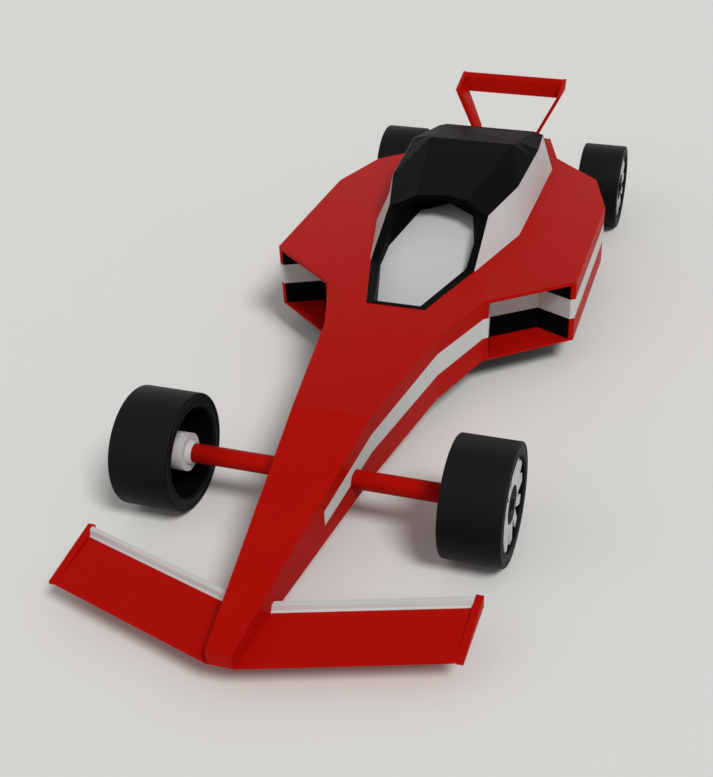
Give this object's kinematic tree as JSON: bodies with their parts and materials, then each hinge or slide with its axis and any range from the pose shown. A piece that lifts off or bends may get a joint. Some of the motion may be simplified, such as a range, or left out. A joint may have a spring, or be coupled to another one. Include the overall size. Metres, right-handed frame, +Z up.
{
  "type": "open wheel racing car",
  "caption": "Wide, wedge-nosed open wheel racing car with faceted engine cover, slanted sidepod inlets, plain wings and spoked wheels that roll and steer.",
  "frame": {"origin": "on the ground, midway between the wheels and between the nose's tip and the rear wing's edge", "axes": "+X is the car's left, +Y points to the tail, +Z is up"},
  "size_m": [2, 5.72, 1.0109],
  "materials": {
    "red_body": "satin",
    "white_panels": "satin",
    "black_cover": "satin",
    "black_tray": "matt",
    "steel_pipe": "satin",
    "engine_metal": "matt",
    "rim_metal": "satin",
    "tyre_rubber": "satin"
  },
  "bodies": {
    "chassis": {"cockpit_liner": "black_cover", "cockpit_rim": "black_cover", "cover_panel_left": "white_panels", "cover_panel_right": "white_panels", "cover_plate": "black_cover", "engine_block": "engine_metal", "engine_cover": "black_cover", "exhaust": "steel_pipe", "front_axle_left": "red_body", "front_axle_right": "red_body", "front_endplate_left": "red_body", "front_endplate_right": "red_body", "front_flap_left": "white_panels", "front_flap_right": "white_panels", "front_wing_left": "red_body", "front_wing_right": "red_body", "inlet_duct_left": "black_cover", "inlet_duct_right": "black_cover", "kingpin_left": "white_panels", "kingpin_right": "white_panels", "nose": "red_body", "rear_axle_left": "red_body", "rear_axle_right": "red_body", "rear_carrier_left": "white_panels", "rear_carrier_right": "white_panels", "rear_wing_flap": "red_body", "rear_wing_plane": "red_body", "rear_wing_support_left": "red_body", "rear_wing_support_right": "red_body", "seat_panel": "white_panels", "sidepod_left": "red_body", "sidepod_right": "red_body", "tail": "red_body", "tub": "red_body", "undertray": "black_tray"},
    "steer_left": {"knuckle_left": "white_panels"},
    "steer_right": {"knuckle_right": "white_panels"},
    "wheel_front_left": {"rim_front_left": "rim_metal", "tyre_front_left": "tyre_rubber"},
    "wheel_front_right": {"rim_front_right": "rim_metal", "tyre_front_right": "tyre_rubber"},
    "wheel_rear_left": {"rim_rear_left": "rim_metal", "tyre_rear_left": "tyre_rubber"},
    "wheel_rear_right": {"rim_rear_right": "rim_metal", "tyre_rear_right": "tyre_rubber"}
  },
  "joints": [
    {"name": "steer_left_turn", "type": "hinge", "parent": "chassis", "child": "steer_left", "pos_m": [0.73, -1.645, 0.31], "axis": [0, 0, 1], "range_deg": [-20, 20]},
    {"name": "steer_right_turn", "type": "hinge", "parent": "chassis", "child": "steer_right", "pos_m": [-0.73, -1.645, 0.31], "axis": [0, 0, 1], "range_deg": [-20, 20]},
    {"name": "wheel_front_left_roll", "type": "hinge", "parent": "steer_left", "child": "wheel_front_left", "pos_m": [0.8425, -1.645, 0.31], "axis": [1, 0, 0], "continuous": true},
    {"name": "wheel_front_right_roll", "type": "hinge", "parent": "steer_right", "child": "wheel_front_right", "pos_m": [-0.8425, -1.645, 0.31], "axis": [1, 0, 0], "continuous": true},
    {"name": "wheel_rear_left_roll", "type": "hinge", "parent": "chassis", "child": "wheel_rear_left", "pos_m": [0.8, 2.495, 0.31], "axis": [1, 0, 0], "continuous": true},
    {"name": "wheel_rear_right_roll", "type": "hinge", "parent": "chassis", "child": "wheel_rear_right", "pos_m": [-0.8, 2.495, 0.31], "axis": [1, 0, 0], "continuous": true}
  ],
  "couplings": [
    {"joint": "steer_right_turn", "follows": "steer_left_turn", "ratio": 1}
  ]
}
